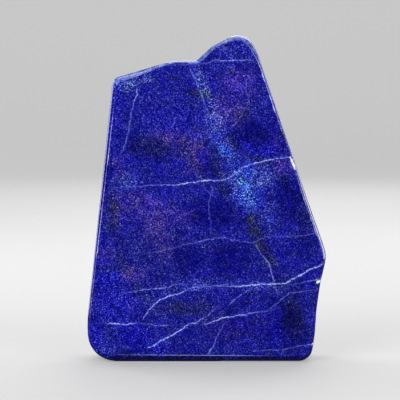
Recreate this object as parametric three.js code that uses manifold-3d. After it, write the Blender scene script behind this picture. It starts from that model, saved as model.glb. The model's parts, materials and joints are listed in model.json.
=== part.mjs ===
// A polished free-form slab of lapis lazuli that stands upright on its sawn foot.
// Millimetres. +Z is up, +X is to the right of someone who faces the slab, and the
// polished front looks along -Y. The origin is on the resting plane, at the centre
// of the slab's width and thickness.
//
// The stone is one piece. Its surface runs through closed rings: from the border of
// the flat front round the ground edge to the rim, across the thickness, and round
// the back edge to the border of the flat back. Chips are then knocked out of it.

import * as THREE from "three";
import { mergeVertices } from "three/addons/utils/BufferGeometryUtils.js";
import Module from "manifold-3d";

// Driving dimensions
const HEIGHT = 210;
const FOOT_THICKNESS = 36;
const CREST_THICKNESS = 30;
const BACK_EDGE_INSET = 3.2;
const BACK_EDGE_DEPTH = 4.4;
const SHARPEST_ROUND = 1.2;
const WALL_BULGE = 0.5;
const WALL_WANDER = 0.4;

// Nothing bulges or wanders below the first height, so that the foot stays flat.
const FOOT_TOP = 2;
const WALL_START = 26;

// How finely the curves are cut
const EDGE_STEPS = 5;
const WALL_STEPS = 3;
const RUN_STEP = 4;
const ARC_STEP = THREE.MathUtils.degToRad(8);

const FRONT_Y = -FOOT_THICKNESS / 2;

// The outline's corners, clockwise as seen from the front.
//   rim, face  a corner of the silhouette and of the flat front: x, z and its radius
//   depth      how far behind the front the edge reaches the rim
//   flat       0 for a rounded edge, 1 for a flat bevel
//   taper      how far the rim draws in towards the back
const CORNERS = {
  leftFoot: { rim: [-77.1, 0, 18.7], face: [-75, 5.2, 10.5], depth: 5, flat: 0.5, taper: 0.8 },
  leftKnee: { rim: [-77.1, 26.8, 60], face: [-75.5, 28, 60], depth: 3.2, flat: 0, taper: 2.2 },
  leftShoulder: { rim: [-60.3, 182.3, 6], face: [-57.6, 179.1, 3], depth: 4.4, flat: 0.2, taper: 2.6 },
  topSlope: { rim: [-44, 187.3, 40], face: [-43, 184, 30], depth: 7, flat: 0.45, taper: 4.5 },
  topBend: { rim: [-23.6, 193.3, 24], face: [-23.4, 192, 20], depth: 3.2, flat: 0.1, taper: 5 },
  notch: { rim: [-6.6, 194, 2.2], face: [-5.4, 191.8, 3.2], depth: 4.2, flat: 0.3, taper: 4.5 },
  humpBend: { rim: [3.3, 202.9, 11], face: [4.9, 201.2, 10], depth: 4.2, flat: 0.1, taper: 3.6 },
  crest: { rim: [24.5, 214.1, 11.6], face: [23.2, 209.3, 12], depth: 6.4, flat: 0.1, taper: 3.2 },
  rightShoulder: { rim: [32.7, 197.7, 14], face: [33.6, 190.6, 14], depth: 4.6, flat: 0, taper: 1.8 },
  rightFlank: { rim: [53.2, 138, 80], face: [51.6, 137.5, 80], depth: 3, flat: 0, taper: 1.2 },
  rightBow: { rim: [65.1, 104, 80], face: [62.8, 103.6, 80], depth: 8, flat: 0.5, taper: 1 },
  rightTip: { rim: [77.9, 68.2, 18.6], face: [75.4, 67.9, 17], depth: 9, flat: 0.55, taper: 1.6 },
  tuck: { rim: [73.3, 51.3, 8], face: [71.8, 50.9, 8], depth: 5, flat: 0.3, taper: 1.8 },
  rightHeel: { rim: [70.6, 32.9, 24], face: [69.4, 32.8, 24], depth: 2.8, flat: 0, taper: 1.8 },
  rightAnkle: { rim: [69.8, 19.4, 24], face: [68.6, 19.4, 24], depth: 2.8, flat: 0, taper: 1.4 },
  rightFoot: { rim: [67.5, 0, 9.6], face: [66.2, 4.1, 6], depth: 5, flat: 0.5, taper: 0.8 },
};

// Chips knocked out of the stone's edges. Each is left by a faceted lump: its middle as x,
// depth behind the front and z, its half sizes along its axes, and its lean and twist.
const CHIPS = {
  rightVein: { at: [56.8, -2, 128.8], half: [4.4, 3.8, 6.2], lean: 20, twist: 15 },
  rightVeinTail: { at: [58.8, -1.2, 122.4], half: [2.6, 2.6, 3.8], lean: 22, twist: 50 },
  belowTip: { at: [74.6, -1.6, 52.4], half: [3.7, 3.2, 3.3], lean: -12, twist: 30 },
  rightFoot: { at: [70.1, -1.2, 11.5], half: [2.2, 2.4, 2.8], lean: -8, twist: 10 },
  leftUpper: { at: [-70.6, -1.2, 97.6], half: [2, 2.4, 3.6], lean: 8, twist: 25 },
  leftLower: { at: [-71.9, -1.1, 86.2], half: [1.9, 2.2, 2.8], lean: 8, twist: 70 },
  footEdge: { at: [-66.5, -0.8, 3.4], half: [5, 2.6, 2.3], lean: 6, twist: 0 },
  backFlank: { at: [-70, 35.4, 70], half: [3.2, 3.4, 6], lean: 6, twist: 35 },
  backNotch: { at: [-9, 32, 190.4], half: [7, 3.4, 3.6], lean: 4, twist: 10 },
};

const { lerp, smoothstep, degToRad } = THREE.MathUtils;
const around = (list, i) => list[(i + list.length) % list.length];
const shares = (steps) => Array.from({ length: steps }, (_, k) => k / steps);
const polygon = (key) => Object.values(CORNERS).map(({ [key]: [x, z, round] }) => ({ x, z, round }));
const values = (key) => Object.values(CORNERS).map((corner) => corner[key]);

// The direction from one corner to another, and the outward side of a clockwise run.
const heading = (from, to) => new THREE.Vector2(to.x - from.x, to.z - from.z).normalize();
const outward = (along) => new THREE.Vector2(-along.y, along.x);

// The arc that rounds corner i of a polygon: where it starts and ends, and its turn.
function fillet(corners, i) {
  const { x, z, round } = corners[i];
  const arrive = heading(around(corners, i - 1), corners[i]);
  const leave = heading(corners[i], around(corners, i + 1));
  const turn = Math.atan2(arrive.cross(leave), arrive.dot(leave));
  const setback = round * Math.tan(Math.abs(turn) / 2);
  const start = new THREE.Vector2(x, z).addScaledVector(arrive, -setback);
  const end = new THREE.Vector2(x, z).addScaledVector(leave, setback);
  const centre = start.clone().addScaledVector(outward(arrive), round * Math.sign(turn));
  return { start, end, centre, turn };
}

// How many steps each arc, and the straight run that follows it, is cut into.
function divisions(corners) {
  const arcs = corners.map((_, i) => fillet(corners, i));
  return arcs.map(({ end, turn }, i) => ({
    arc: Math.ceil(Math.abs(turn) / ARC_STEP),
    run: Math.max(1, Math.round(end.distanceTo(around(arcs, i + 1).start) / RUN_STEP)),
  }));
}

// The points of a rounded polygon, one for each station round the slab.
function walk(corners, cuts) {
  const arcs = corners.map((_, i) => fillet(corners, i));
  return arcs.flatMap(({ start, end, centre, turn }, i) => {
    const next = around(arcs, i + 1).start;
    const bend = shares(cuts[i].arc).map((share) => start.clone().rotateAround(centre, turn * share));
    const run = shares(cuts[i].run).map((share) => end.clone().lerp(next, share));
    return [...bend, ...run];
  });
}

// One value for each station: held round a corner, and eased along the run to the next.
function spread(list, cuts) {
  return list.flatMap((value, i) => {
    const next = around(list, i + 1);
    const run = shares(cuts[i].run).map((share) => lerp(value, next, smoothstep(share, 0, 1)));
    return [...shares(cuts[i].arc).map(() => value), ...run];
  });
}

// A polygon drawn in by a distance of its own at each corner, with its foot kept at a height.
function drawnIn(corners, distances, footHeight) {
  return corners.map((corner, i) => {
    const arrive = outward(heading(around(corners, i - 1), corner));
    const leave = outward(heading(corner, around(corners, i + 1)));
    const mitre = arrive.clone().add(leave).normalize();
    const reach = distances[i] / mitre.dot(arrive);
    const round = corner.round + Math.sign(arrive.cross(leave)) * distances[i];
    return {
      x: corner.x - mitre.x * reach,
      z: corner.z === 0 ? footHeight : corner.z - mitre.y * reach,
      round: Math.max(round, SHARPEST_ROUND),
    };
  });
}

// The slab thins steadily from its foot to its crest, so that its back is one plane.
const backY = (z) => FRONT_Y + lerp(FOOT_THICKNESS, CREST_THICKNESS, z / HEIGHT);

// The rings of the surface, from front to back, each with one point for each station.
function rings() {
  const rimCorners = polygon("rim");
  const cuts = divisions(rimCorners);
  const wallCorners = drawnIn(rimCorners, values("taper"), 0);
  const backInsets = wallCorners.map(() => BACK_EDGE_INSET);
  const face = walk(polygon("face"), cuts);
  const rim = walk(rimCorners, cuts);
  const wall = walk(wallCorners, cuts);
  const back = walk(drawnIn(wallCorners, backInsets, BACK_EDGE_INSET), cuts);
  const depth = spread(values("depth"), cuts);
  const flat = spread(values("flat"), cuts);

  const frontEdge = shares(EDGE_STEPS).map((share) =>
    face.map((border, i) => {
      const angle = (share * Math.PI) / 2;
      const at = border.clone().lerp(rim[i], lerp(Math.sin(angle), share, flat[i]));
      const across = depth[i] * lerp(1 - Math.cos(angle), share, flat[i]);
      return new THREE.Vector3(at.x, FRONT_Y + across, at.y);
    }),
  );

  const wallBand = shares(WALL_STEPS).map((share) =>
    rim.map((edge, i) => {
      const side = outward(around(rim, i + 1).clone().sub(around(rim, i - 1)).normalize());
      const turn = (i / rim.length) * Math.PI * 2;
      const wander = WALL_WANDER * Math.sin(5 * turn + 4 * share) * Math.cos(9 * turn - 3 * share);
      const swell = Math.sin(share * Math.PI) * (WALL_BULGE + wander);
      const at = edge.clone().lerp(wall[i], share);
      at.addScaledVector(side, swell * smoothstep(edge.y, FOOT_TOP, WALL_START));
      const near = FRONT_Y + depth[i];
      return new THREE.Vector3(at.x, lerp(near, backY(at.y) - BACK_EDGE_DEPTH, share), at.y);
    }),
  );

  const backEdge = [...shares(EDGE_STEPS), 1].map((share) =>
    wall.map((edge, i) => {
      const angle = (share * Math.PI) / 2;
      const at = edge.clone().lerp(back[i], 1 - Math.cos(angle));
      return new THREE.Vector3(at.x, backY(at.y) - BACK_EDGE_DEPTH * (1 - Math.sin(angle)), at.y);
    }),
  );

  return [...frontEdge, ...wallBand, ...backEdge];
}

// Joins the rings into one closed surface, with a flat cap at each end.
function loft(layers) {
  const count = layers[0].length;
  const indices = [];
  for (let ring = 0; ring + 1 < layers.length; ring++) {
    for (let i = 0; i < count; i++) {
      const here = ring * count + i;
      const next = ring * count + ((i + 1) % count);
      indices.push(here, next, next + count, here, next + count, here + count);
    }
  }
  const border = (layer) => layer.map(({ x, z }) => new THREE.Vector2(x, z));
  const cap = (layer) => THREE.ShapeUtils.triangulateShape(border(layer), []);
  const last = (layers.length - 1) * count;
  cap(layers[0]).forEach(([a, b, c]) => indices.push(a, b, c));
  cap(layers.at(-1)).forEach(([a, b, c]) => indices.push(last + a, last + c, last + b));
  const geometry = new THREE.BufferGeometry().setFromPoints(layers.flat());
  return geometry.setIndex(indices);
}

// A faceted lump that leaves a chip where it overlaps the stone.
function bite({ at: [x, behind, z], half, lean, twist }) {
  return new THREE.IcosahedronGeometry(1, 1)
    .rotateZ(degToRad(twist))
    .scale(...half)
    .rotateY(degToRad(-lean))
    .translate(x, FRONT_Y + behind, z);
}

const wasm = await Module();
wasm.setup();

// A closed surface as a solid that another can be cut from.
function solid(geometry) {
  const bare = geometry.clone();
  bare.deleteAttribute("normal");
  bare.deleteAttribute("uv");
  const merged = mergeVertices(bare);
  return new wasm.Manifold(
    new wasm.Mesh({
      numProp: 3,
      vertProperties: merged.attributes.position.array,
      triVerts: new Uint32Array(merged.index.array),
    }),
  );
}

// The stone with every chip out of it.
function chipped(geometry) {
  const bites = Object.values(CHIPS).map((chip) => solid(bite(chip)));
  const left = bites.reduce((whole, lump) => whole.subtract(lump), solid(geometry));
  const { vertProperties, triVerts } = left.getMesh();
  const cut = new THREE.BufferGeometry();
  cut.setAttribute("position", new THREE.BufferAttribute(vertProperties, 3));
  cut.setIndex(new THREE.BufferAttribute(triVerts, 1));
  cut.computeVertexNormals();
  return cut;
}

const lapis = new THREE.MeshStandardMaterial({ color: 0x26287f, roughness: 0.2, metalness: 0 });
const slab = new THREE.Mesh(chipped(loft(rings())), lapis);
slab.name = "lapis_slab";

const stone = new THREE.Group();
stone.add(slab);

export default stone;
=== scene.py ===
"""A polished free-form slab of lapis lazuli, standing on its sawn foot in a pale studio.

Metres throughout the scene, with +Z up and the polished front looking along -Y. The stone's
markings are placed in millimetres on the front: x from the slab's middle, z up from the foot.
"""

import json
import logging
from dataclasses import dataclass, field
from enum import Enum
from math import cos, hypot, radians, sin
from typing import Callable, Optional, Sequence, Union

import bmesh
import bpy
import numpy as np
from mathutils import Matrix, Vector, noise

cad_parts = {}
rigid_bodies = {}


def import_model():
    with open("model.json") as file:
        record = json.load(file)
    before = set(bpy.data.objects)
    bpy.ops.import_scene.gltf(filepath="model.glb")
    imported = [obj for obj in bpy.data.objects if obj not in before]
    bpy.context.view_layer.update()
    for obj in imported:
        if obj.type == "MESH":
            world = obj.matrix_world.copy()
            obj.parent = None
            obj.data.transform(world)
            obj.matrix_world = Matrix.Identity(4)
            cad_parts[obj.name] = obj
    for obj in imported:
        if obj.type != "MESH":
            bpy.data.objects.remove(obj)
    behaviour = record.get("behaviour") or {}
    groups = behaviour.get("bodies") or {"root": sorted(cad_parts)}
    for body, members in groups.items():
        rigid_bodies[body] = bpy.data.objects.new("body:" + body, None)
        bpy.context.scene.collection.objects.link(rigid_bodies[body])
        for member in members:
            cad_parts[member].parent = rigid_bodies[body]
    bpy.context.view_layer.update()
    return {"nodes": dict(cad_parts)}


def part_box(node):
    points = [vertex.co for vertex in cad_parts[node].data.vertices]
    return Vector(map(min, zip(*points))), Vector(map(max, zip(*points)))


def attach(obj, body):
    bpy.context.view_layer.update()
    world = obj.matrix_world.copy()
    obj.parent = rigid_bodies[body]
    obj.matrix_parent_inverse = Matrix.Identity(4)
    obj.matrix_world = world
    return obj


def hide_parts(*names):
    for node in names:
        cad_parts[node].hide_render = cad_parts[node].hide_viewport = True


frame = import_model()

log = logging.getLogger("lapis_slab")

MM = 0.001
FRONT_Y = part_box("lapis_slab")[0].y

# A face whose normal has at least this much along Y belongs to the flat front or back.
FLAT = 0.9992

# The stone's layers lean as they run back from the front, by this much in x and z for each
# millimetre of depth, and they sway in waves of this many millimetres.
LAYER_LEAN = (0.30, -0.22)
SWAY_SIZE = 34.0

Number = Union[float, "Wire"]
Colour = Union[tuple[float, float, float, float], "Wire"]
Point = tuple[float, float]
Screen = tuple[int, int, int]


def linear(value: int) -> float:
    """One channel of a colour on a screen, from 0 to 255, as the linear value that a shader takes."""
    share = value / 255
    return share / 12.92 if share <= 0.04045 else ((share + 0.055) / 1.055) ** 2.4


def screen(red: int, green: int, blue: int) -> tuple[float, float, float, float]:
    """A colour on a screen, from 0 to 255, as a shader's opaque colour."""
    return (linear(red), linear(green), linear(blue), 1.0)


def deselect() -> None:
    """Leaves nothing selected, so that the next operator acts on its own piece alone."""
    bpy.ops.object.select_all(action="DESELECT")


def only(piece: bpy.types.Object) -> None:
    """Selects one piece alone and makes it the active one.

    Args:
        piece: the piece.
    """
    deselect()
    piece.select_set(True)
    bpy.context.view_layer.objects.active = piece


class Layer(Enum):
    """How far a pattern is shifted through the noise, in millimetres, so that it is its own."""

    CRYSTAL = 3.0
    PYRITE = 5.0
    VEIN_GAPS = 7.0
    HUE = 19.0
    CLOT = 31.0
    PATCH_GAPS = 43.0
    CLOUD = 57.0
    CAST = 83.0


@dataclass(frozen=True)
class Wire:
    """One output socket, which arithmetic turns into Math nodes."""

    graph: "Graph"
    socket: bpy.types.NodeSocket

    def _math(self, operation: str, *values: Number) -> "Wire":
        """One Math node on these values."""
        return self.graph.node("ShaderNodeMath", {"operation": operation}, dict(enumerate(values)))

    def __add__(self, other: Number) -> "Wire":
        """The sum."""
        return self._math("ADD", self, other)

    def __radd__(self, other: Number) -> "Wire":
        """The sum, from the right."""
        return self._math("ADD", other, self)

    def __sub__(self, other: Number) -> "Wire":
        """The difference."""
        return self._math("SUBTRACT", self, other)

    def __rsub__(self, other: Number) -> "Wire":
        """The difference, from the right."""
        return self._math("SUBTRACT", other, self)

    def __mul__(self, other: Number) -> "Wire":
        """The product."""
        return self._math("MULTIPLY", self, other)

    def __rmul__(self, other: Number) -> "Wire":
        """The product, from the right."""
        return self._math("MULTIPLY", other, self)

    def __abs__(self) -> "Wire":
        """The size without its sign."""
        return self._math("ABSOLUTE", self)

    def __or__(self, other: Number) -> "Wire":
        """The larger of two values, which joins two masks."""
        return self._math("MAXIMUM", self, other)

    def clamped(self) -> "Wire":
        """The value held between 0 and 1."""
        return self.graph.node("ShaderNodeClamp", {}, {0: self})


class Graph:
    """The node tree of one material, written as expressions."""

    def __init__(self, name: str) -> None:
        """Starts a material with an empty tree.

        Args:
            name: the material's name.
        """
        self.material = bpy.data.materials.new(name)
        self.material.use_nodes = True
        self.tree = self.material.node_tree
        self.tree.nodes.clear()

    def node(self, kind: str, settings: dict, inputs: dict, output: Union[int, str] = 0) -> Wire:
        """Adds any node.

        Args:
            kind: the node's type.
            settings: its properties, set first. A curve's points go under "points", and a
                ramp's places and colours under "stops".
            inputs: a value or a wire for each named or numbered socket.
            output: the socket that is handed back.

        Returns:
            The wire from that output.
        """
        made = self.tree.nodes.new(kind)
        for key, value in settings.items():
            if key == "points":
                self._bend(made.mapping, value)
            elif key == "stops":
                self._dye(made.color_ramp, value)
            else:
                setattr(made, key, value)
        for key, value in inputs.items():
            if isinstance(value, Wire):
                self.tree.links.new(value.socket, made.inputs[key])
            else:
                made.inputs[key].default_value = value
        return Wire(self, made.outputs[output])

    def surface(self, shader: Wire) -> bpy.types.Material:
        """Makes a shader the material's surface.

        Args:
            shader: the finished shader.

        Returns:
            The material.
        """
        output = self.tree.nodes.new("ShaderNodeOutputMaterial")
        self.tree.links.new(shader.socket, output.inputs["Surface"])
        return self.material

    @staticmethod
    def _bend(mapping: bpy.types.CurveMapping, points: Sequence[Point]) -> None:
        """Lays a curve through points, straight from each to the next.

        Args:
            mapping: the curve of a Float Curve node.
            points: where it goes, from left to right, each value from 0 to 1.
        """
        mapping.extend = "HORIZONTAL"
        curve = mapping.curves[0]
        curve.points[0].location = points[0]
        curve.points[1].location = points[-1]
        for place in points[1:-1]:
            curve.points.new(*place)
        for point in curve.points:
            point.handle_type = "VECTOR"
        mapping.update()

    @staticmethod
    def _dye(ramp: bpy.types.ColorRamp, stops: tuple[tuple[float, Screen], ...]) -> None:
        """Gives a ramp its colours.

        Args:
            ramp: the ramp of a Color Ramp node.
            stops: places from 0 to 1, each with its colour on a screen.
        """
        while len(ramp.elements) < len(stops):
            ramp.elements.new(0.5)
        for element, (place, colour) in zip(ramp.elements, stops):
            element.position = place
        for element, (place, colour) in zip(ramp.elements, stops):
            element.color = screen(*colour)

    def vector(self, operation: str, *values: object, scale: Optional[float] = None) -> Wire:
        """A Vector Math node.

        Args:
            operation: what it does.
            values: its vectors, each a triple or a wire.
            scale: the factor of a SCALE.

        Returns:
            Its vector, or its value where it gives a number.
        """
        inputs: dict = dict(enumerate(values))
        if scale is not None:
            inputs["Scale"] = scale
        output = "Value" if operation in ("DOT_PRODUCT", "LENGTH", "DISTANCE") else "Vector"
        return self.node("ShaderNodeVectorMath", {"operation": operation}, inputs, output)

    def mix(self, share: Number, low: Colour, high: Colour, blend: str = "MIX") -> Wire:
        """One colour laid over another.

        Args:
            share: how much of the second shows.
            low: the first colour.
            high: the second colour.
            blend: how they are mixed.

        Returns:
            The mixed colour.
        """
        settings = {"data_type": "RGBA", "blend_type": blend}
        return self.node("ShaderNodeMix", settings, {0: share, 6: low, 7: high}, 2)

    def step(self, value: Number, start: float, end: float, low: float = 0.0, high: float = 1.0) -> Wire:
        """A value eased from low to high while another goes from start to end."""
        inputs = {0: value, 1: start, 2: end, 3: low, 4: high}
        return self.node("ShaderNodeMapRange", {"interpolation_type": "SMOOTHSTEP"}, inputs)

    def axis(self, vector: Wire, name: str) -> Wire:
        """One part of a vector, by its letter."""
        return self.node("ShaderNodeSeparateXYZ", {}, {0: vector}, name)

    def noise(self, place: Wire, grain: float, detail: float = 2.0, rough: float = 0.5) -> Wire:
        """Soft noise from 0 to 1.

        Args:
            place: the point, in millimetres.
            grain: the size of its lumps, in millimetres.
            detail: how many finer layers it has.
            rough: how strong those are.

        Returns:
            The noise's value.
        """
        inputs = {"Vector": place, "Scale": 1 / grain, "Detail": detail, "Roughness": rough}
        return self.node("ShaderNodeTexNoise", {"noise_dimensions": "3D"}, inputs, "Fac")

    def cells(self, place: Wire, size: float, output: str) -> Wire:
        """Cells of a size in millimetres: one output of a Voronoi texture."""
        inputs = {"Vector": place, "Scale": 1 / size, "Randomness": 1.0}
        return self.node("ShaderNodeTexVoronoi", {"feature": "F1"}, inputs, output)

    def shifted(self, place: Wire, layer: Layer) -> Wire:
        """The same place moved by a layer's own step, so that a pattern there is another one."""
        return self.vector("ADD", place, (layer.value, -0.7 * layer.value, 1.3 * layer.value))


class Tint(Enum):
    """What a patch does to the stone round it."""

    PALE = "crowded with pale calcite grains"
    AZURE = "a clear lighter blue"
    VIOLET = "a violet cast with more specks of pyrite"
    OLIVE = "greyed by fine pyrite"
    UMBER = "a dull brown streak"
    DEEP = "the darkest blue, nearly free of grains"
    PURE = "a bright clean blue"
    # The worn outlines are whitened by wear and also carry a painted highlight along the edges.
    WORN = "an edge of the flat front or back, worn white"


class Cast(Enum):
    """What a cast multiplies the red, green and blue of the ground by."""

    CLEAN = (0.48, 0.46, 1.38)
    DUSTY = (1.15, 1.3, 0.46)
    ROSY = (1.75, 0.95, 0.92)
    LEAFY = (0.76, 1.3, 0.98)
    UMBER = (1.6, 1.8, 0.34)
    AZURE = (0.82, 1.42, 1.25)
    # Painted shade: darkens the faces that look down, such as the chamfer of the foot.
    DULL = (0.34, 0.34, 0.4)


@dataclass(frozen=True)
class Patch:
    """A soft oval on the front, in millimetres and degrees, which runs back through the stone."""

    centre: Point
    radii: Point
    turn: float = 0.0
    strength: float = 1.0


@dataclass(frozen=True)
class Vein:
    """A thin sheet of calcite, which shows as a line wherever it meets the surface.

    Its points lie on the front. Its strength is given at places from 0 to 1 along it, and its
    glow is how blue the stone beside it is.
    """

    name: str
    points: tuple[Point, ...]
    width: float
    strength: tuple[Point, ...]
    glow: float = 0.25

    def chord(self) -> tuple[Point, Point, float]:
        """The straight line from end to end.

        Returns:
            Its start, its direction and its length.
        """
        (x0, z0), (x1, z1) = self.points[0], self.points[-1]
        length = hypot(x1 - x0, z1 - z0)
        return (x0, z0), ((x1 - x0) / length, (z1 - z0) / length), length

    def profile(self) -> tuple[list[Point], float]:
        """The line's wander off its chord.

        Returns:
            Points from 0 to 1 along and across the chord, and the half width that 0 to 1 spans.
        """
        (x0, z0), (along_x, along_z), length = self.chord()
        offsets = []
        for x, z in self.points:
            run = ((x - x0) * along_x + (z - z0) * along_z) / length
            offsets.append((run, (z - z0) * along_x - (x - x0) * along_z))
        reach = 1.0 + max(abs(offset) for _, offset in offsets)
        return [(run, 0.5 + offset / (2 * reach)) for run, offset in offsets], reach


PATCHES: dict[Tint, tuple[Patch, ...]] = {
    Tint.PALE: (
        Patch((-2.5, 177.4), (16.8, 3.9), -72, 0.75),
        Patch((4.6, 154.2), (14.2, 6.8), -74, 0.8),
        Patch((12.4, 134.8), (9, 6.2), -58, 0.7),
        Patch((22.1, 112.3), (15.4, 8.4), -64, 1),
        Patch((19.8, 115.9), (10.6, 5.5), -66, 1),
        Patch((34.6, 118.7), (10.7, 9.4), 0, 0.75),
        Patch((38.6, 95.8), (9.3, 6.5), -50, 0.4),
        Patch((-45.7, 180), (12.9, 3.9), 20, 1),
        Patch((-57.3, 178.7), (5.2, 5.2), 0, 0.9),
        Patch((-52.8, 116.1), (7.1, 4.5), 0, 0.55),
        Patch((-13.4, 48.4), (15.5, 5.2), 8, 0.5),
        Patch((31.1, 50.3), (18.1, 3.9), 0, 0.4),
        Patch((-67, 9.7), (10.3, 5.2), 0, 0.4),
        Patch((-36.7, 38.1), (6.5, 4.5), 40, 0.35),
        Patch((17, 199), (12, 5), 0, 0.35),
    ),
    Tint.AZURE: (
        Patch((12.4, 134.8), (9.7, 2.6), -42, 1),
        Patch((25.9, 124.5), (4.5, 5.2), 0, 0.8),
        Patch((27.5, 102), (8, 4.6), 10, 0.75),
        Patch((23.4, 117.7), (15.8, 6.5), -66, 0.6),
        Patch((39.4, 91.7), (6.7, 7), -30, 0.2),
    ),
    Tint.VIOLET: (
        Patch((20.1, 180), (11.6, 9), 0, 1),
        Patch((15.6, 163.8), (11.6, 12.9), 0, 0.9),
        Patch((-19.9, 143.8), (16.8, 5.8), -12, 1),
        Patch((-7.6, 134.8), (6.5, 15.5), 0, 1),
        Patch((-56.7, 125.8), (5.8, 8.4), 0, 0.7),
        Patch((44.6, 141.3), (3.9, 7.7), 0, 0.9),
        Patch((49.1, 127.1), (5.8, 7.7), 25, 1),
        Patch((-43.1, 101.3), (20.6, 9), 0, 0.9),
        Patch((-32.8, 92.2), (11.6, 15.5), 0, 1),
        Patch((-13.4, 94.8), (11.6, 6.5), 0, 0.9),
        Patch((-28.3, 76.8), (5.8, 11), 0, 0.9),
        Patch((-54.7, 99.3), (8.4, 9), 0, 0.8),
        Patch((-65, 71.6), (7.1, 9), 0, 0.5),
        Patch((-47, 56.8), (9, 5.8), 25, 1),
        Patch((-47, 36.1), (4.5, 3.9), 0, 0.8),
        Patch((13.6, 22.6), (14.2, 7.1), 0, 0.8),
        Patch((35.6, 23.2), (6.5, 5.8), 0, 0.6),
    ),
    Tint.OLIVE: (
        Patch((-35.4, 138.7), (15.5, 7.1), -8, 0.8),
        Patch((-13.4, 138), (8.4, 5.2), -40, 0.8),
        Patch((-5.7, 124.5), (11, 3.9), -55, 0.7),
        Patch((7.2, 121.9), (21.9, 3.9), -73, 0.8),
        Patch((-60.5, 96.1), (5.2, 15.5), 0, 1),
        Patch((-53, 62), (4.5, 14), 30, 0.6),
        Patch((-5.7, 172.9), (10.3, 4.5), -20, 0.8),
        Patch((22, 158), (5.8, 7.1), 0, 0.7),
        Patch((16.2, 141.9), (7.7, 2.6), -35, 0.8),
        Patch((35.6, 129.6), (10.3, 3.2), -25, 0.7),
        Patch((49.8, 116.7), (9, 3.9), -55, 0.6),
        Patch((62, 94.2), (5.8, 14.2), 20, 0.6),
        Patch((47.8, 51.6), (9, 5.8), 0, 0.7),
        Patch((55.6, 30.3), (7.1, 17.4), 12, 1),
        Patch((-16, 34.8), (16.8, 4.5), 0, 1),
        Patch((-43.1, 47.7), (15.5, 3.2), -45, 0.6),
        Patch((-54.7, 118), (5.8, 4.5), 0, 0.4),
        Patch((5.3, 27.7), (16.8, 5.2), 12, 0.35),
        Patch((-30.2, 71.6), (21, 21), 0, 0.4),
    ),
    Tint.UMBER: (
        Patch((30.5, 87.5), (9.5, 5.4), -78, 1),
        Patch((35, 75), (8, 4.4), -62, 1),
        Patch((40, 65.5), (6, 2.8), -58, 0.8),
    ),
    Tint.DEEP: (
        Patch((5.9, 95.5), (19.4, 8.4), 5, 1),
        Patch((-12.2, 67.7), (9, 7.1), 0, 0.8),
        Patch((16.2, 67.7), (12.9, 9.7), 0, 0.8),
        Patch((29.1, 148.3), (12.9, 9), 0, 1),
        Patch((44.6, 141.3), (7.7, 7.7), 0, 0.7),
        Patch((-41.8, 137.4), (14.2, 7.1), 0, 0.45),
        Patch((53.6, 106.4), (9.7, 15.5), 15, 0.9),
        Patch((62.7, 74.8), (6.5, 9), 0, 0.8),
        Patch((17.5, 23.2), (14.2, 7.1), 0, 0.8),
        Patch((53.6, 25.2), (10.3, 15.5), 0, 0.9),
        Patch((39.4, 16.8), (7.7, 10.3), 0, 0.6),
        Patch((-2.5, 127.7), (6.5, 7.7), 0, 0.5),
    ),
    Tint.PURE: (
        Patch((-61.2, 52.9), (12.3, 6.5), 0, 1),
        Patch((-69.6, 83.2), (3.9, 35.5), -3, 0.6),
        Patch((-57.3, 38.1), (14.2, 14.2), 0, 0.8),
        Patch((-45.1, 17.4), (14.2, 9), -30, 1),
        Patch((-32.8, 9.7), (7.7, 5.2), 0, 0.9),
        Patch((-61.2, 160.6), (7.7, 21.9), -4, 0.6),
        Patch((27.8, 138), (9, 3.2), -20, 0.9),
        Patch((39.4, 136.1), (6.5, 4.5), 0, 0.8),
        Patch((45.2, 20), (4.5, 16.8), 0, 0.8),
        Patch((-23.8, 156.7), (16.8, 9), 0, 0.35),
        Patch((-72.1, 18.7), (6.5, 14.2), 0, 0.7),
        Patch((21.4, 200.6), (7.7, 6.5), 0, 0.3),
    ),
    # Worn white lines along the outlines, which also paint the highlight that lamps make on these edges.
    Tint.WORN: (
        Patch((40, 174), (31, 8), -68),
        Patch((64, 100), (34, 8), -70, 0.7),
        Patch((-67, 100), (96, 8), 84, 0.75),
        Patch((-8, 4), (60, 7), 0, 0.8),
        Patch((-30, 184), (45, 10), 14, 0.35),
        Patch((14, 205), (24, 12), 30, 0.35),
    ),
}

BARE_SPOTS = (
    Patch((54.9, 128.6), (5.0, 0.85), -64, 0.85),
    Patch((71.8, 52.4), (1.8, 1.0), 20),
    Patch((68.2, 11.8), (0.9, 0.9), 0, 0.9),
)

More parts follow.
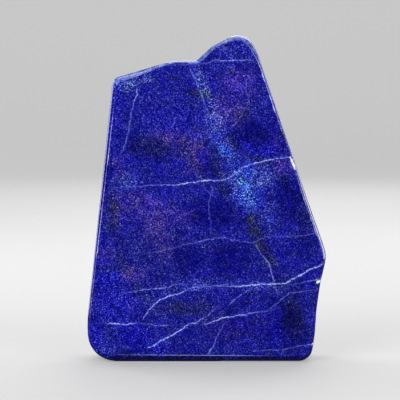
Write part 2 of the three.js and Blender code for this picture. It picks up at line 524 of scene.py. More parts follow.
VEINS = (
    Vein("upper main", width=0.5, glow=0.3, points=(
        (-60.5, 112), (-52, 113), (-42, 113.5), (-31, 114.5), (-19.5, 114.5), (-10, 116), (-4, 117),
        (7, 117.5), (11, 117.5), (14.5, 119), (17.5, 121.5), (20.5, 123.5), (23.5, 126), (26.5, 127),
        (33.5, 129), (43, 131), (52, 132),
    ), strength=(
        (0, 0), (0.05, 0.15), (0.25, 0.35), (0.37, 0.5), (0.42, 0.85), (0.5, 0.75), (0.55, 0.5),
        (0.75, 0.6), (1, 0.5),
    )),
    Vein("middle", width=0.45, glow=0.2, points=(
        (-52, 70.5), (-34.5, 71), (-22.5, 74), (-16.5, 75.5), (1.5, 79.5), (7, 80.5), (12.5, 80.5),
        (16, 79), (28, 77.5), (31.5, 78), (34.5, 80), (38, 81), (58, 81.5), (70.5, 83.5),
    ), strength=(
        (0, 0), (0.15, 0.15), (0.45, 0.35), (0.6, 0.25), (0.85, 0.2), (1, 0.3),
    )),
    Vein("upright", width=0.45, glow=0.3, points=(
        (2, 115), (3.5, 112), (2.5, 107.5), (1, 102.5), (1, 99.5), (2, 94.5), (2.5, 90), (2.5, 80),
    ), strength=(
        (0, 0), (0.03, 0.25), (0.5, 0.2), (0.97, 0.05), (1, 0),
    )),
    Vein("lower main", width=0.55, glow=0.35, points=(
        (-42, 27), (-39, 31), (-36.5, 34.5), (-33, 38), (-30, 40.5), (-26.5, 42), (-22.5, 43.5),
        (-18.5, 44.5), (-14, 46.5), (-9.5, 48.5), (-4.5, 49), (6, 49.5), (15, 49), (21.5, 49.5),
        (34.5, 50.5), (48, 51), (51, 51.5), (54, 53.5), (62, 57.5), (65, 59.5), (69.5, 61.5),
        (75.5, 64),
    ), strength=(
        (0, 0), (0.02, 0.5), (0.15, 0.75), (0.3, 0.4), (0.45, 0.3), (0.6, 0.75), (0.8, 0.75),
        (0.9, 0.7), (1, 0.6),
    )),
    Vein("lower twin", width=0.4, points=(
        (1.5, 49.5), (10, 50), (14, 51), (18.5, 51.5),
    ), strength=(
        (0, 0), (0.2, 0.4), (0.7, 0.3), (1, 0),
    )),
    Vein("left branch", width=0.45, points=(
        (-64.5, 38.5), (-59, 40.5), (-54, 45), (-49.5, 45.5), (-41.5, 47), (-36, 47.5), (-25.5, 48.5),
        (-21, 50), (-16.5, 50.5), (-10, 50.5), (-5, 50),
    ), strength=(
        (0, 0), (0.15, 0.1), (0.35, 0.4), (0.6, 0.4), (0.9, 0.15), (1, 0),
    )),
    Vein("low left", width=0.5, points=(
        (-64.5, 24.5), (-61.5, 25.5), (-57, 25), (-52, 24.5), (-47, 25.5), (-36.5, 25), (-33.5, 24),
        (-26.5, 24), (-21.5, 24.5), (-12.5, 25),
    ), strength=(
        (0, 0), (0.03, 0.7), (0.3, 0.55), (0.45, 0.15), (0.55, 0.45), (0.7, 0.5), (0.8, 0.1), (1, 0),
    )),
    Vein("diagonal", width=0.5, glow=0.35, points=(
        (-39, 9), (-35, 10.5), (-30, 14), (-24, 16.5), (-19, 19.5), (-14.5, 22.5), (-11.5, 25),
        (-7.5, 25.5), (-3, 28.5), (0.5, 30.5), (3.5, 33), (6.5, 36), (9, 37.5),
    ), strength=(
        (0, 0), (0.03, 0.65), (0.45, 0.7), (0.7, 0.45), (0.9, 0.3), (1, 0),
    )),
    Vein("diagonal top", width=0.45, points=(
        (13, 36), (15, 38), (17.5, 40.5), (21, 43), (25, 45.5), (28, 48), (30, 49.5),
    ), strength=(
        (0, 0), (0.2, 0.35), (0.8, 0.35), (1, 0),
    )),
    Vein("lower right", width=0.5, points=(
        (-4.5, 24), (0, 25), (5.5, 27), (10, 29), (14.5, 29.5), (20, 30.5), (24.5, 31), (34, 33),
        (38, 33), (43, 34), (46.5, 34),
    ), strength=(
        (0, 0), (0.05, 0.4), (0.35, 0.75), (0.55, 0.5), (0.85, 0.3), (1, 0),
    )),
    Vein("right branch", width=0.45, points=(
        (38, 33), (41, 35.5), (45, 38.5), (47.5, 40.5), (50.5, 43), (53, 45), (58, 45.5), (62.5, 46),
        (67.5, 47), (71.5, 47),
    ), strength=(
        (0, 0), (0.1, 0.3), (0.5, 0.3), (1, 0.2),
    )),
    Vein("steep", width=0.45, points=(
        (0.5, 5.5), (3.5, 9.5), (5.5, 14.5), (9, 21), (11, 25), (13, 27.5),
    ), strength=(
        (0, 0), (0.05, 0.45), (0.3, 0.35), (0.8, 0.25), (1, 0),
    )),
    Vein("foot right", width=0.45, points=(
        (26.5, 7.5), (34.5, 7.5), (39.5, 8), (45, 8), (51, 8.5), (56.5, 10), (60.5, 11), (67.5, 11.5),
    ), strength=(
        (0, 0), (0.1, 0.25), (0.6, 0.25), (1, 0.35),
    )),
    Vein("umber edge", width=0.5, points=(
        (30, 77), (32.5, 74), (34.5, 70.5), (37.5, 67), (40, 64), (41, 60), (41.5, 57.5), (43, 53.5),
        (44, 48.5), (45, 45.5), (46.5, 41.5),
    ), strength=(
        (0, 0), (0.05, 0.3), (0.5, 0.4), (0.8, 0.35), (1, 0),
    )),
    Vein("under tip", width=0.5, points=(
        (50.5, 49.5), (54.5, 50.5), (58, 51), (62, 52), (66.5, 53), (70.5, 53.5),
    ), strength=(
        (0, 0), (0.2, 0.15), (0.7, 0.3), (1, 0.6),
    )),
    Vein("hump", width=0.45, points=(
        (-3.5, 191.5), (0.5, 192), (5.5, 194), (8.5, 193.5), (14, 194), (18, 193.5), (23, 194),
        (26.5, 194.5), (30.5, 192.5),
    ), strength=(
        (0, 0.2), (0.3, 0.3), (0.5, 0.65), (0.65, 0.55), (0.85, 0.3), (1, 0.1),
    )),
    Vein("crest", width=0.4, points=(
        (4.5, 198.5), (8, 200), (12, 201.5), (17, 202.5),
    ), strength=(
        (0, 0), (0.5, 0.25), (1, 0),
    )),
    Vein("hair under hump", width=0.4, points=(
        (24.5, 183.5), (25, 179), (25.5, 173), (26.5, 169.5),
    ), strength=(
        (0, 0), (0.3, 0.3), (0.8, 0.25), (1, 0),
    )),
    Vein("hair across", width=0.4, points=(
        (15, 150.5), (18, 153.5), (21, 157.5), (23, 161), (26, 164),
    ), strength=(
        (0, 0), (0.15, 0.45), (0.6, 0.2), (1, 0),
    )),
    Vein("left hair", width=0.5, glow=0.4, points=(
        (-44.5, 177), (-44.5, 172), (-46.5, 167.5), (-47.5, 163), (-48.5, 158.5), (-49, 154),
        (-49.5, 150), (-51, 145.5), (-52, 140.5), (-53.5, 137.5), (-55.5, 134), (-57, 131.5),
    ), strength=(
        (0, 0), (0.04, 0.5), (0.25, 0.4), (0.5, 0.25), (0.8, 0.35), (1, 0),
    )),
    Vein("notch line", width=0.6, glow=0.5, points=(
        (-11, 190), (-9.5, 185.5), (-7, 180.5), (-5.5, 176), (-3, 171), (-1.5, 166.5), (1, 161),
        (3, 156.5), (2.5, 152.5),
    ), strength=(
        (0, 0), (0.04, 0.35), (0.3, 0.25), (0.7, 0.15), (1, 0),
    )),
)


@dataclass(frozen=True)
class Mottle:
    """One kind of mottling: the size of its lumps in millimetres, and its share in the tone."""

    size: float
    share: float


@dataclass(frozen=True)
class Lapis:
    """The polished stone: grains, patches and veins that run right through it."""

    name: str = "lapis"
    grain: Mottle = Mottle(0.85, 1.3)
    crystal: Mottle = Mottle(0.8, 0.2)
    fibre: Mottle = Mottle(1.2, 0.3)
    clot: Mottle = Mottle(3.2, 0.3)
    cloud: Mottle = Mottle(12.0, 0.2)
    fibre_length: float = 5.0
    fibre_lean: float = radians(-20)
    middle_tone: float = 0.402
    lifts: tuple[tuple[Tint, float], ...] = (
        (Tint.PALE, 0.17),
        (Tint.VIOLET, 0.09),
        (Tint.AZURE, 0.04),
        (Tint.DEEP, -0.14),
    )
    blues: tuple[tuple[float, Screen], ...] = (
        (0.0, (0, 0, 58)),
        (0.2, (2, 2, 88)),
        (0.36, (9, 9, 113)),
        (0.5, (26, 27, 138)),
        (0.64, (54, 57, 165)),
        (0.8, (98, 104, 196)),
        (1.0, (164, 176, 230)),
    )
    azure: Screen = (34, 78, 205)
    azure_share: float = 0.45
    pyrite: Screen = (122, 104, 78)
    pyrite_share: float = 0.6
    pyrite_spacing: float = 1.6
    vein_sway: Point = (0.9, -0.7)
    vein_white: Screen = (182, 196, 252)
    vein_faint: Screen = (124, 138, 240)
    vein_blue: Screen = (58, 68, 200)
    calcite: Screen = (220, 222, 236)
    calcite_depths: Point = (6.0, 4.0)
    # A painted sheen, as if lit from above, on the rounded edges that face upward.
    edge_sheen: Screen = (126, 150, 206)
    # The worn white of the outlines, which is also a painted highlight.
    worn: Screen = (206, 214, 250)
    shake: float = 2.4
    polish: Point = (0.14, 0.26)
    crumb_height: float = 0.03

    def material(self) -> bpy.types.Material:
        """Wires the whole stone.

        Returns:
            The finished material.
        """
        graph = Graph(self.name)
        coords = graph.node("ShaderNodeTexCoord", {}, {}, "Object")
        place = graph.vector("SCALE", coords, scale=1 / MM)
        plan = self._plan(graph, place)
        masks = self._tints(graph, place)
        bare = self._bare_spots(graph, place, plan)
        ground, tone = self._ground(graph, place, masks)
        pyrite = self._pyrite(graph, place, masks) * self.pyrite_share
        specked = graph.mix(pyrite, ground, screen(*self.pyrite))
        veined, line = self._veins(graph, place, plan, specked)
        # Painted shade below, a painted sheen on the upward edges, and worn outlines with a painted
        # highlight.
        worn = self._worn(graph, place, masks, veined)
        colour = graph.mix(bare, worn, screen(*self.calcite))
        rough = graph.step(tone, 0.3, 0.9, *self.polish) + (bare * 0.4 | line * 0.1)
        crumbs = graph.noise(place, self.grain.size, 2.0, 0.7)
        bump = graph.node("ShaderNodeBump", {}, {
            "Strength": 0.3, "Distance": self.crumb_height * MM, "Height": crumbs * (bare * 4.0 + 0.4),
        })
        return graph.surface(graph.node("ShaderNodeBsdfPrincipled", {}, {
            "Base Color": colour, "Roughness": rough, "Metallic": pyrite, "Normal": bump,
            "IOR": 1.5, "Specular IOR Level": 0.25,
        }))

    def _plan(self, graph: Graph, place: Wire) -> Wire:
        """Where each point lies on the front's plan, followed along the leaning layers.

        Args:
            graph: the material.
            place: the point, in millimetres.

        Returns:
            A vector of x, z and 1.
        """
        depth = graph.axis(place, "Y") - FRONT_Y / MM
        sway = graph.noise(place, SWAY_SIZE, 1.0) - 0.5
        x = graph.axis(place, "X") + depth * (sway * self.vein_sway[0] + LAYER_LEAN[0])
        z = graph.axis(place, "Z") + depth * (sway * self.vein_sway[1] + LAYER_LEAN[1])
        return graph.node("ShaderNodeCombineXYZ", {}, {0: x, 1: z, 2: 1.0})

    def _ragged(self, graph: Graph, place: Wire, plan: Wire, grain: float) -> Wire:
        """The place on the plan, shaken so that what is drawn there has a ragged edge.

        Args:
            graph: the material.
            place: the point, in millimetres.
            plan: its place on the front's plan.
            grain: how long the raggedness is, in millimetres.

        Returns:
            The shaken place on the plan.
        """
        inputs = {"Vector": place, "Scale": 1 / grain, "Detail": 3.0}
        noise_colour = graph.node("ShaderNodeTexNoise", {}, inputs, "Color")
        centred = graph.vector("SUBTRACT", noise_colour, (0.5, 0.5, 0.5))
        shaken = graph.vector("SCALE", centred, scale=self.shake)
        return graph.vector("ADD", plan, graph.vector("MULTIPLY", shaken, (1.0, 1.0, 0.0)))

    @staticmethod
    def _tints(graph: Graph, place: Wire) -> dict[Tint, Wire]:
        """Reads how strong each tint is painted on the mesh, and breaks all but the worn outlines with
        their painted highlight up more.

        Args:
            graph: the material.
            place: the point, in millimetres.

        Returns:
            A mask for each tint.
        """
        gaps = graph.noise(graph.shifted(place, Layer.PATCH_GAPS), 2.6, 3.0, 0.65)
        broken = graph.step(gaps, 0.3, 0.6, 0.6, 1.2)
        masks: dict[Tint, Wire] = {}
        for tint in PATCHES:
            painted = graph.node("ShaderNodeAttribute", {"attribute_name": tint.name.lower()}, {}, "Fac")
            masks[tint] = painted if tint is Tint.WORN else (painted * broken).clamped()
        return masks

    def _bare_spots(self, graph: Graph, place: Wire, plan: Wire) -> Wire:
        """Where bare calcite shows in the chips of the front edge.

        Args:
            graph: the material.
            place: the point, in millimetres.
            plan: its place on the front's plan.

        Returns:
            The mask.
        """
        moved = self._ragged(graph, place, plan, 3.0)
        bare: Number = 0.0
        for spot in BARE_SPOTS:
            local = graph.node("ShaderNodeMapping", {"vector_type": "TEXTURE"}, {
                "Vector": moved,
                "Location": (*spot.centre, 1.0),
                "Rotation": (0.0, 0.0, radians(spot.turn)),
                "Scale": (*spot.radii, 1.0),
            })
            bare = graph.step(graph.vector("LENGTH", local), 0.8, 1.1, spot.strength, 0.0) | bare
        depth = graph.axis(place, "Y") - FRONT_Y / MM
        return bare * graph.step(depth, *self.calcite_depths)

    def _ground(self, graph: Graph, place: Wire, masks: dict[Tint, Wire]) -> tuple[Wire, Wire]:
        """The blue ground, mottled from grain to cloud and tinted in patches.

        Args:
            graph: the material.
            place: the point, in millimetres.
            masks: the patches.

        Returns:
            The colour, and the tone, which is how pale the grains are.
        """
        fine = graph.noise(place, self.grain.size, 1.5, 0.6) - 0.5
        crystals = graph.cells(graph.shifted(place, Layer.CRYSTAL), self.crystal.size, "Color")
        crystal = graph.node("ShaderNodeSeparateColor", {}, {0: crystals}, 1) - 0.5
        fibres = graph.node("ShaderNodeMapping", {"vector_type": "TEXTURE"}, {
            "Vector": place,
            "Rotation": (0.0, self.fibre_lean, 0.0),
            "Scale": (self.fibre.size, self.fibre.size, self.fibre_length),
        })
        fibre = graph.noise(fibres, 1.0, 3.0, 0.6) - 0.5
        clots = graph.noise(graph.shifted(place, Layer.CLOT), self.clot.size, 2.0, 0.6) - 0.5
        clouds = graph.noise(graph.shifted(place, Layer.CLOUD), self.cloud.size, 2.0, 0.55) - 0.5
        lively = (masks[Tint.PALE] | masks[Tint.PURE]) * 0.5 + 1.0
        tone = (fine * self.grain.share + crystal * self.crystal.share) * lively
        tone = tone + fibre * self.fibre.share + clots * self.clot.share + clouds * self.cloud.share
        tone = tone + self.middle_tone
        for tint, lift in self.lifts:
            tone = tone + masks[tint] * lift
        ground = graph.node("ShaderNodeValToRGB", {"stops": self.blues}, {"Fac": tone}, "Color")
        for cast, share in self._casts(graph, place, masks).items():
            ground = graph.mix(share, ground, (*cast.value, 1.0), "MULTIPLY")
        clear = masks[Tint.AZURE] * graph.step(clots, 0.0, 0.12)
        return graph.mix(clear * self.azure_share, ground, screen(*self.azure)), tone.clamped()

    @staticmethod
    def _casts(graph: Graph, place: Wire, masks: dict[Tint, Wire]) -> dict[Cast, Wire]:
        """How strong each cast is: in its own patches, and faintly all over.

        Args:
            graph: the material.
            place: the point, in millimetres.
            masks: the patches.

        Returns:
            A mask for each cast of the ground.
        """
        cast = graph.noise(graph.shifted(place, Layer.CAST), 6.0, 3.0, 0.6)
        hue = graph.noise(graph.shifted(place, Layer.HUE), 5.0, 2.5, 0.6)
        violet = masks[Tint.VIOLET] * graph.step(hue, 0.3, 0.5, 0.7, 1.0)
        return {
            Cast.CLEAN: graph.step(cast, 0.5, 0.7, 0.0, 0.5) | masks[Tint.PURE],
            Cast.DUSTY: graph.step(cast, 0.5, 0.3, 0.0, 0.5) | masks[Tint.OLIVE],
            Cast.ROSY: graph.step(hue, 0.5, 0.7, 0.0, 0.25) | violet,
            Cast.LEAFY: graph.step(hue, 0.5, 0.3, 0.0, 0.35) | masks[Tint.PALE] * 0.7,
            Cast.UMBER: masks[Tint.UMBER],
            Cast.AZURE: masks[Tint.AZURE],
        }

    def _pyrite(self, graph: Graph, place: Wire, masks: dict[Tint, Wire]) -> Wire:
        """Where specks of pyrite lie: a few all over, more in the olive, violet and brown patches.

        Args:
            graph: the material.
            place: the point, in millimetres.
            masks: the patches.

        Returns:
            The mask.
        """
        scattered = graph.shifted(place, Layer.PYRITE)
        away = graph.cells(scattered, self.pyrite_spacing, "Distance")
        lots = graph.cells(scattered, self.pyrite_spacing, "Color")
        drawn = graph.node("ShaderNodeSeparateColor", {}, {0: lots}, 0)
        chance = (masks[Tint.OLIVE] | masks[Tint.VIOLET] | masks[Tint.UMBER]) * 0.16 + 0.03
        return graph.step(away, 0.26, 0.14) * graph.step(drawn - chance, 0.0, -0.02)

    def _veins(self, graph: Graph, place: Wire, plan: Wire, ground: Wire) -> tuple[Wire, Wire]:
        """Draws the calcite sheets over the ground.

        Args:
            graph: the material.
            place: the point, in millimetres.
            plan: its place on the front's plan.
            ground: the colour under the veins.

        Returns:
            The colour, and how much calcite there is at each point.
        """
        ragged = self._ragged(graph, place, plan, 2.4)
        line: Number = 0.0
        glow: Number = 0.0
        for vein in VEINS:
            core, halo = self._vein(graph, ragged, vein)
            line = core | line
            glow = halo | glow
        gaps = graph.noise(graph.shifted(place, Layer.VEIN_GAPS), 1.3, 2.0)
        broken = graph.step(gaps, 0.34, 0.6, 0.35, 1.1)
        line = (line * broken).clamped()
        soft = graph.mix((glow * broken).clamped(), ground, screen(*self.vein_blue))
        strong = graph.step(line, 0.15, 0.6)
        calcite = graph.mix(strong, screen(*self.vein_faint), screen(*self.vein_white))
        return graph.mix(line, soft, calcite), line

    @staticmethod
    def _vein(graph: Graph, plan: Wire, vein: Vein) -> tuple[Wire, Wire]:
        """One vein's line and the faint blue on both sides of it.

        Args:
            graph: the material.
            plan: the point on the front's plan, as x, z and 1.
            vein: the vein.

        Returns:
            The strength of the line and of the blue beside it.
        """
        (x0, z0), (along_x, along_z), length = vein.chord()
        points, reach = vein.profile()
        span = 2 * reach
        run = graph.vector("DOT_PRODUCT", plan, (
            along_x / length, along_z / length, -(x0 * along_x + z0 * along_z) / length))
        across = graph.vector("DOT_PRODUCT", plan, (
            -along_z / span, along_x / span, 0.5 + (x0 * along_z - z0 * along_x) / span))
        path = graph.node("ShaderNodeFloatCurve", {"points": points}, {"Value": run})
        power = graph.node("ShaderNodeFloatCurve", {"points": vein.strength}, {"Value": run})
        away = abs(across - path)
        core = graph.step(away, vein.width / span, 0.25 * vein.width / span) * power
        halo = graph.step(away, 3.6 * vein.width / span, 0.0) * power * vein.glow
        return core, halo

    def _worn(self, graph: Graph, place: Wire, masks: dict[Tint, Wire], ground: Wire) -> Wire:
        """Paints shade on what faces down, a mottled sheen on the upward edges, and worn white along the
        outlines of the flat sides, which is partly a painted highlight.

        Args:
            graph: the material.
            place: the point, in millimetres.
            masks: the tints, of which the worn outlines with their painted highlight are one.
            ground: the colour so far.

        Returns:
            The colour.
        """
        normal = graph.node("ShaderNodeTexCoord", {}, {}, "Normal")
        facing = abs(graph.axis(normal, "Y"))
        upward = graph.axis(normal, "Z")
        # Painted shade: what faces down is darkened.
        underside_shade = graph.step(upward, -0.3, -0.6, 0.0, 0.85)
        shaded_below = graph.mix(underside_shade, ground, (*Cast.DULL.value, 1.0), "MULTIPLY")
        # A mottled painted sheen on the rounded edges that face upward, as if lit from above.
        edge = graph.step(facing, 0.97, 0.8) * graph.step(facing, 0.1, 0.4) * graph.step(upward, 0.1, 0.6)
        patchy = graph.step(graph.noise(graph.shifted(place, Layer.HUE), 3.2, 3.0, 0.65), 0.38, 0.66)
        sheened = graph.mix(edge * (patchy * 0.5 + 0.1), shaded_below, screen(*self.edge_sheen))
        # Worn white along the outlines, which is also a painted highlight.
        outline = graph.step(masks[Tint.WORN], 0.3, 0.75) * (patchy * 0.4 + 0.6)
        return graph.mix(outline, sheened, screen(*self.worn))


@dataclass(frozen=True)
class Plain:
    """The studio's matt pale finish, which glows a little by itself."""

    name: str = "studio_paper"
    tone: Screen = (140, 140, 140)
    roughness: float = 0.85
    glow: float = 0.28

    def material(self) -> bpy.types.Material:
        """Wires the finish.

        Returns:
            The finished material.
        """
        graph = Graph(self.name)
        shader = graph.node("ShaderNodeBsdfPrincipled", {}, {
            "Base Color": screen(*self.tone), "Roughness": self.roughness, "Specular IOR Level": 0.2,
            "Emission Color": (1.0, 1.0, 1.0, 1.0), "Emission Strength": self.glow,
        })
        return graph.surface(shader)


@dataclass(frozen=True)
class TintPaint:
    """Paints the tinted patches on a mesh, one attribute for each tint."""

    sway: float = 0.45
    ragged: float = 3.4
    ragged_size: float = 7.0
    rim: float = 1.5
    fade: float = 1.2
    seed: int = 118

    def paint(self, piece: bpy.types.Object) -> None:
        """Writes the attributes.

        Args:
            piece: the slab, with its final mesh.
        """
        noise.seed_set(self.seed)
        plan = np.array([self._plan(vertex.co / MM) for vertex in piece.data.vertices])
        brink = self._brink(piece)
        for tint, patches in PATCHES.items():
            mask = np.max([self._cover(plan, patch) for patch in patches], axis=0)
            if tint is Tint.WORN:
                mask = mask * brink
            attribute = piece.data.attributes.new(tint.name.lower(), "FLOAT", "POINT")
            attribute.data.foreach_set("value", mask)

    @staticmethod
    def _brink(piece: bpy.types.Object) -> np.ndarray:
        """Which points lie on the outline of the flat front or back.

        Args:
            piece: the slab.

        Returns:
            1 for those and 0 for the others.
        """
        flat = np.zeros(len(piece.data.vertices))
        ground = np.zeros(len(piece.data.vertices))
        for face in piece.data.polygons:
            chosen = flat if abs(face.normal.y) > FLAT else ground
            chosen[list(face.vertices)] = 1.0
        return flat * ground

    def _plan(self, place: Vector) -> Point:
        """Where a point lies on the front's plan, along leaning, ragged layers.

        Args:
            place: the point, in millimetres.

        Returns:
            Its x and z.
        """
        depth = place.y - FRONT_Y / MM
        sway = noise.noise(place / SWAY_SIZE) * self.sway
        shift = noise.turbulence_vector(place / self.ragged_size, 3, False) * self.ragged
        x = place.x + depth * (LAYER_LEAN[0] + sway) + shift.x
        z = place.z + depth * (LAYER_LEAN[1] - sway) + shift.z
        return x, z

    def _cover(self, plan: np.ndarray, patch: Patch) -> np.ndarray:
        """How strongly a patch covers each point.

        Args:
            plan: the points' places.
            patch: the patch.

        Returns:
            The strengths, fading out to nothing at the rim, which is given in its radii.
        """
        away = plan - np.array(patch.centre)
        turn = radians(patch.turn)
        along = (away[:, 0] * cos(turn) + away[:, 1] * sin(turn)) / patch.radii[0]
        across = (away[:, 1] * cos(turn) - away[:, 0] * sin(turn)) / patch.radii[1]
        share = np.clip((self.rim - np.hypot(along, across)) / self.fade, 0.0, 1.0)
        return patch.strength * share * share * (3.0 - 2.0 * share)


@dataclass
class Slab:
    """The stone itself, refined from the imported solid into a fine, smooth surface."""

    node: str = "lapis_slab"
    body: str = "root"
    finish: Lapis = field(default_factory=Lapis)
    doubles: float = 0.00001
    cell: float = 0.0065
    foot_top: float = 0.006
    crisp: float = radians(24)
    smooth: float = radians(40)
    levels: int = 2
    ripple: float = 0.00022
    ripple_grain: float = 0.016

    def build(self) -> bpy.types.Object:
        """Makes the piece and dresses it.

        Returns:
            The finished slab.
        """
        piece = self._copy()
        bpy.ops.object.mode_set(mode="EDIT")
        bpy.ops.mesh.select_mode(type="FACE")
        self._mend()
        self._divide_caps()
        self._crease()
        bpy.ops.object.mode_set(mode="OBJECT")
        self._mark_ground_edges(piece)
        self._refine(piece)
        self._ripple(piece)
        only(piece)
        bpy.ops.object.shade_smooth_by_angle(angle=self.smooth)
        TintPaint().paint(piece)
        piece.data.materials.clear()
        piece.data.materials.append(self.finish.material())
        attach(piece, self.body)
        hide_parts(self.node)
        return piece

    def _copy(self) -> bpy.types.Object:
        """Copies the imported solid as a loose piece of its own.

        Returns:
            The copy.
        """
        only(frame["nodes"][self.node])
        bpy.ops.object.duplicate()
        piece = bpy.context.view_layer.objects.active
        bpy.ops.object.parent_clear(type="CLEAR_KEEP_TRANSFORM")
        for key in list(piece.keys()):
            del piece[key]
        piece.name = "polished_slab"
        piece.data.name = "polished_slab"
        return piece

    def _mend(self) -> None:
        """Joins the loose triangles into one closed surface of quads."""
        bpy.ops.mesh.select_all(action="SELECT")
        bpy.ops.mesh.remove_doubles(threshold=self.doubles)
        self._select_faces(self._is_cap)
        bpy.ops.mesh.dissolve_faces()
        bpy.ops.mesh.select_all(action="SELECT")
        self._select_faces(lambda face: len(face.verts) == 3)
        bpy.ops.mesh.tris_convert_to_quads(face_threshold=radians(30), shape_threshold=radians(60))

    @staticmethod
    def _is_cap(face: bmesh.types.BMFace) -> bool:
        """Whether a face lies in the flat front or the flat back."""
        return abs(face.normal.y) > FLAT

    @staticmethod
    def _select_faces(wanted: Callable[[bmesh.types.BMFace], bool]) -> None:
        """Selects the faces of the piece in edit mode that pass a test, and no others.

        Args:
            wanted: the test.
        """
        mesh = bmesh.from_edit_mesh(bpy.context.edit_object.data)
        mesh.normal_update()
        for face in mesh.faces:
            face.select_set(wanted(face))
        mesh.select_flush_mode()
        bmesh.update_edit_mesh(bpy.context.edit_object.data)

    def _divide_caps(self) -> None:
        """Cuts the flat front and back into even cells."""
        low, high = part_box(self.node)
        for normal, start, end in (
            (Vector((1.0, 0.0, 0.0)), low.x, high.x),
            (Vector((0.0, 0.0, 1.0)), low.z, high.z),
        ):
            cuts = int((end - start) / self.cell)
            for cut in range(1, cuts):
                self._select_faces(self._is_cap)
                bpy.ops.mesh.bisect(plane_co=normal * (start + (end - start) * cut / cuts), plane_no=normal)

    def _crease(self) -> None:
        """Keeps the outlines of the flat sides and the edges of the chips crisp."""
        self._select_faces(self._is_cap)
        bpy.ops.mesh.region_to_loop()
        bpy.ops.transform.edge_crease(value=1.0)
        bpy.ops.mesh.select_all(action="DESELECT")
        bpy.ops.mesh.edges_select_sharp(sharpness=self.crisp)
        bpy.ops.transform.edge_crease(value=1.0)
        bpy.ops.mesh.select_mode(type="FACE")

    def _mark_ground_edges(self, piece: bpy.types.Object) -> None:
        """Puts what was ground by hand, all but the flat sides and the foot, in a group.

        Args:
            piece: the slab.
        """
        group = piece.vertex_groups.new(name="hand_ground")
        flat: set[int] = set()
        for face in piece.data.polygons:
            if abs(face.normal.y) > FLAT:
                flat.update(face.vertices)
        chosen = [v.index for v in piece.data.vertices if v.index not in flat and v.co.z > self.foot_top]
        group.add(chosen, 1.0, "REPLACE")

    def _refine(self, piece: bpy.types.Object) -> None:
        """Rounds the surface off finely.

        Args:
            piece: the slab.
        """
        only(piece)
        modifier = piece.modifiers.new("fine", "SUBSURF")
        modifier.levels = self.levels
        modifier.render_levels = self.levels
        bpy.ops.object.modifier_apply(modifier="fine")

    def _ripple(self, piece: bpy.types.Object) -> None:
        """Lets the hand-ground edges swim a little, inwards only.

        Args:
            piece: the slab.
        """
        texture = bpy.data.textures.new("hand_grinding", "CLOUDS")
        texture.noise_scale = self.ripple_grain
        texture.noise_depth = 2
        only(piece)
        modifier = piece.modifiers.new("ripple", "DISPLACE")
        modifier.texture = texture
        modifier.texture_coords = "LOCAL"
        modifier.strength = self.ripple
        modifier.mid_level = 1.0
        modifier.vertex_group = "hand_ground"
        bpy.ops.object.modifier_apply(modifier="ripple")


@dataclass
class Studio:
    """A pale round floor that curves up into a wall all round, and shows in no reflection."""

    radius: float = 3.0
    wall: float = 2.4
    cove: float = 0.9
    cove_steps: int = 12
    sides: int = 96
    finish: Plain = field(default_factory=Plain)

    def build(self) -> bpy.types.Object:
        """Makes the floor and its wall.

        Returns:
            The stage.
        """
        deselect()
        bpy.ops.mesh.primitive_circle_add(vertices=self.sides, radius=self.radius, fill_type="NGON")
        stage = bpy.context.view_layer.objects.active
        stage.name = "studio_floor"
        bpy.ops.object.mode_set(mode="EDIT")
        bpy.ops.mesh.select_mode(type="EDGE")
        self._select_rim(0.0)
        bpy.ops.mesh.extrude_region_move(TRANSFORM_OT_translate={"value": (0.0, 0.0, self.wall)})
        self._select_rim(0.0)
        bpy.ops.mesh.bevel(offset=self.cove, segments=self.cove_steps)
        bpy.ops.mesh.select_all(action="SELECT")
        bpy.ops.mesh.normals_make_consistent(inside=True)
        bpy.ops.object.mode_set(mode="OBJECT")
        bpy.ops.object.shade_smooth()
        stage.data.materials.append(self.finish.material())
        stage.visible_glossy = False
        return stage

    def _select_rim(self, height: float) -> None:
        """Selects the edges round the outside at a height, and no others.

        Args:
            height: where they lie.
        """
        bpy.ops.mesh.select_all(action="DESELECT")
        mesh = bmesh.from_edit_mesh(bpy.context.edit_object.data)
        for edge in mesh.edges:
            level = all(abs(end.co.z - height) < MM for end in edge.verts)
            outer = all(end.co.xy.length > 0.9 * self.radius for end in edge.verts)
            edge.select_set(level and outer)
        bmesh.update_edit_mesh(bpy.context.edit_object.data)


@dataclass(frozen=True)
class Softbox:
    """A rectangular soft lamp, aimed at a point."""

    name: str
    place: tuple[float, float, float]
    aim: tuple[float, float, float]
    size: Point
    power: float

    def build(self) -> bpy.types.Object:
        """Hangs the lamp.

        Returns:
            The lamp.
        """
        turn = (Vector(self.aim) - Vector(self.place)).to_track_quat("-Z", "Y").to_euler()
        bpy.ops.object.light_add(type="AREA", location=self.place, rotation=turn)
        lamp = bpy.context.view_layer.objects.active
        lamp.name = self.name
        lamp.data.shape = "RECTANGLE"
        lamp.data.size, lamp.data.size_y = self.size
        lamp.data.energy = self.power
        return lamp


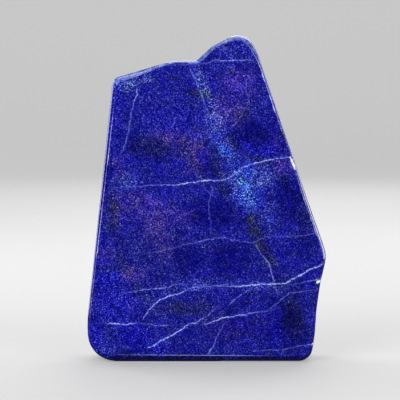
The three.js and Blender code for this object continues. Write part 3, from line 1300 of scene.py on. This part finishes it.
SOFTBOXES = (
    Softbox("key_left", (-0.85, -1.15, 0.95), (0.0, 0.0, 0.1), (0.9, 0.9), 22.0),
    Softbox("key_right", (0.95, -1.05, 0.8), (0.0, 0.0, 0.1), (0.8, 0.9), 12.0),
    Softbox("wall_wash", (0.0, 0.9, 2.1), (0.0, 3.0, 1.0), (3.0, 0.6), 50.0),
    Softbox("overhead", (0.0, 0.5, 1.5), (0.0, 0.05, 0.0), (1.4, 0.9), 16.0),
    Softbox("rim_left", (-0.8, 0.55, 0.35), (-0.06, 0.0, 0.12), (0.6, 0.8), 7.0),
    Softbox("rim_right", (0.9, 0.1, 0.35), (0.06, 0.0, 0.12), (0.12, 0.8), 2.8),
    Softbox("rim_behind", (0.62, 0.85, 0.35), (0.06, 0.0, 0.12), (0.2, 0.8), 1.8),
    Softbox("back_fill", (0.3, 1.6, 1.1), (0.0, 0.0, 0.1), (1.2, 0.8), 14.0),
)


@dataclass(frozen=True)
class Camera:
    """A long lens a little above the slab's middle."""

    aim: tuple[float, float, float] = (-0.0044, -0.018, 0.1048)
    distance: float = 1.15
    height_angle: float = radians(4.0)
    frame_width: float = 0.2557
    sensor: float = 36.0
    nearest: float = 0.05

    def build(self) -> bpy.types.Object:
        """Sets the camera up and makes it the scene's own.

        Returns:
            The camera.
        """
        aim = Vector(self.aim)
        back = Vector((0.0, -cos(self.height_angle), sin(self.height_angle)))
        turn = (-back).to_track_quat("-Z", "Y").to_euler()
        bpy.ops.object.camera_add(location=aim + back * self.distance, rotation=turn)
        camera = bpy.context.view_layer.objects.active
        camera.name = "front_camera"
        camera.data.sensor_width = self.sensor
        camera.data.lens = self.sensor * self.distance / self.frame_width
        camera.data.clip_start = self.nearest
        bpy.context.scene.camera = camera
        return camera


def light_room(strength: float = 0.05) -> None:
    """Fills the room beyond the lamps with a dim even grey.

    Args:
        strength: how bright it is.
    """
    world = bpy.data.worlds.new("dim_room")
    world.use_nodes = True
    backdrop = world.node_tree.nodes["Background"]
    backdrop.inputs["Color"].default_value = (1.0, 1.0, 1.0, 1.0)
    backdrop.inputs["Strength"].default_value = strength
    bpy.context.scene.world = world


def main() -> None:
    """Builds the slab and its studio in order."""
    logging.basicConfig(level=logging.INFO, format="%(message)s")
    camera = Camera().build()
    log.info("camera: %s", camera.name)
    slab = Slab().build()
    log.info("slab: %s, %d faces", slab.name, len(slab.data.polygons))
    stage = Studio().build()
    log.info("stage: %s", stage.name)
    for softbox in SOFTBOXES:
        log.info("lamp: %s", softbox.build().name)
    light_room()
    bpy.context.scene.view_settings.view_transform = "Standard"


if __name__ == "__main__":
    main()
